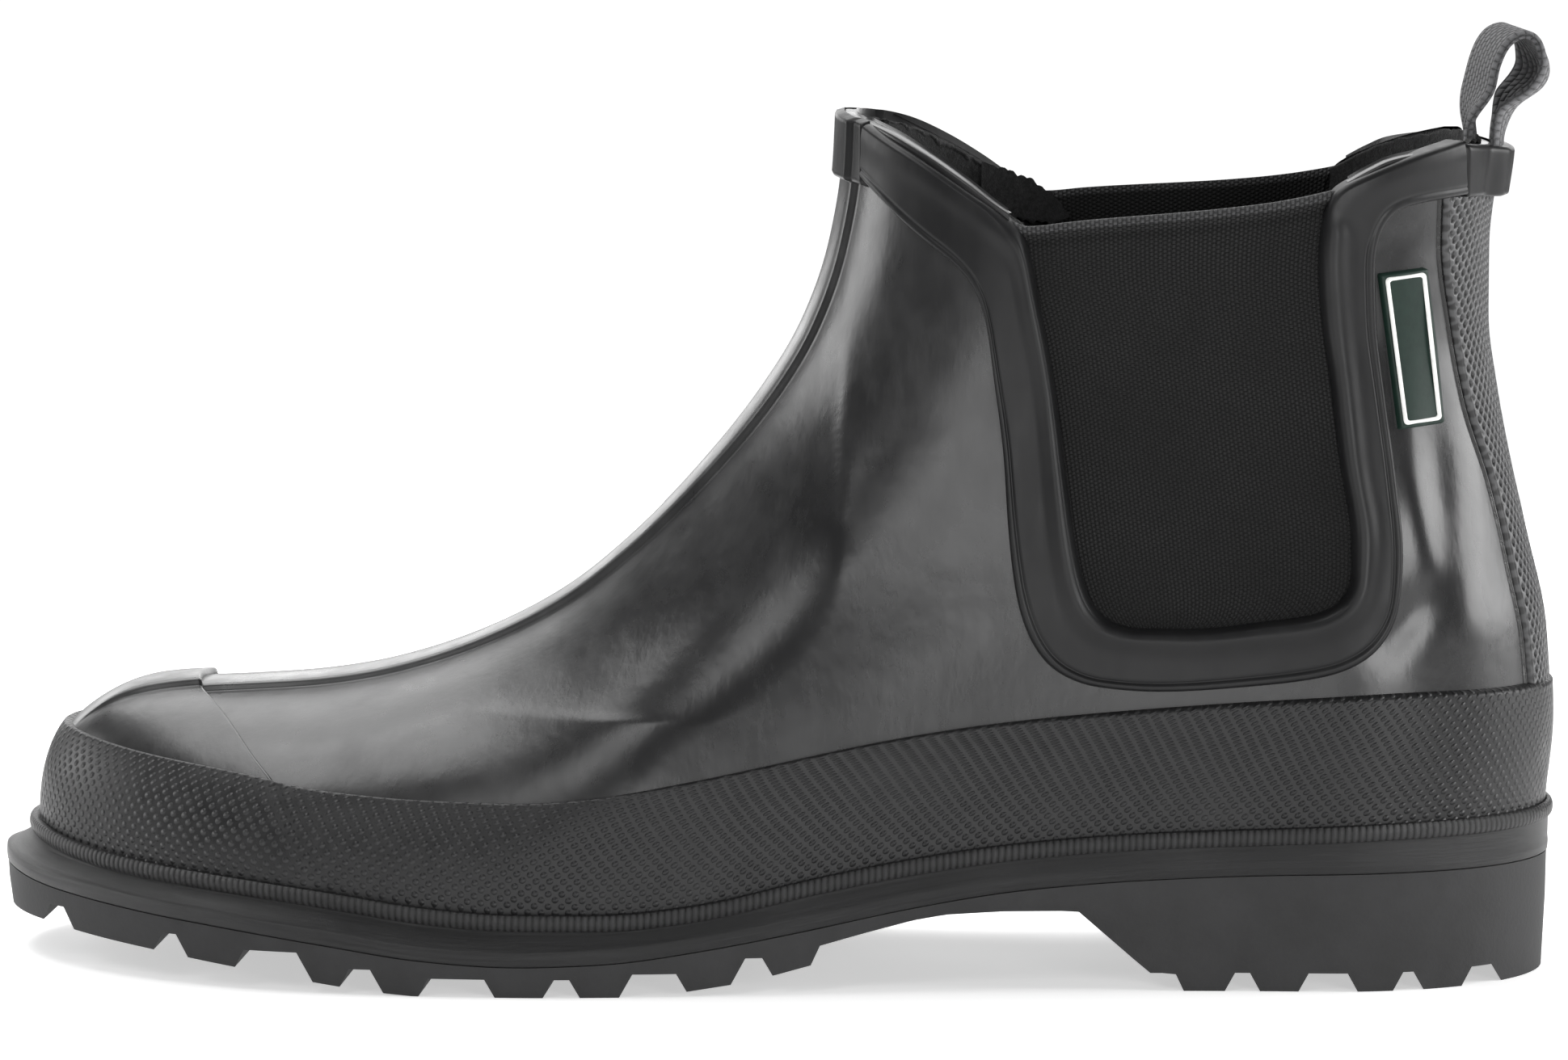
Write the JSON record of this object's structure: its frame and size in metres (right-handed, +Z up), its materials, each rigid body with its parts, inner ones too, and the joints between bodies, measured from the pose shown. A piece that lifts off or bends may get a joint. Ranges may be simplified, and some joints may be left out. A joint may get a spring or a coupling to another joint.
{
  "type": "rubber ankle boot",
  "caption": "Left rubber ankle boot, pull-on, with elastic side panels, raised collar trim, textured foxing, lugged sole with heel, and a webbing pull loop.",
  "frame": {"origin": "centre of the bounding box at floor level, where the heel and forefoot lugs stand", "axes": "-X towards the toe, +X towards the heel, -Y towards the outer (lateral) side of the foot, +Z up"},
  "size_m": [0.3, 0.1081, 0.1801],
  "materials": {
    "upper_rubber": "semi-gloss",
    "foxing_rubber": "matte, pebbled",
    "trim_rubber": "satin",
    "welt_rubber": "semi-gloss",
    "tread_rubber": "matte",
    "elastic": "woven elastic",
    "felt": "felt",
    "label": "satin",
    "webbing": "woven webbing"
  },
  "bodies": {
    "root": {"outsole": "tread_rubber", "sole_plate": "welt_rubber", "upper": "upper_rubber", "foxing": "foxing_rubber", "toe_cap": "upper_rubber", "back_strip": "foxing_rubber", "trim_lateral": "trim_rubber", "trim_medial": "trim_rubber", "collar_tab_front": "trim_rubber", "collar_band_back": "trim_rubber", "gusset_lateral": "elastic", "gusset_medial": "elastic", "insole": "felt", "label_plate": "label", "pull_loop": "webbing"}
  },
  "joints": []
}
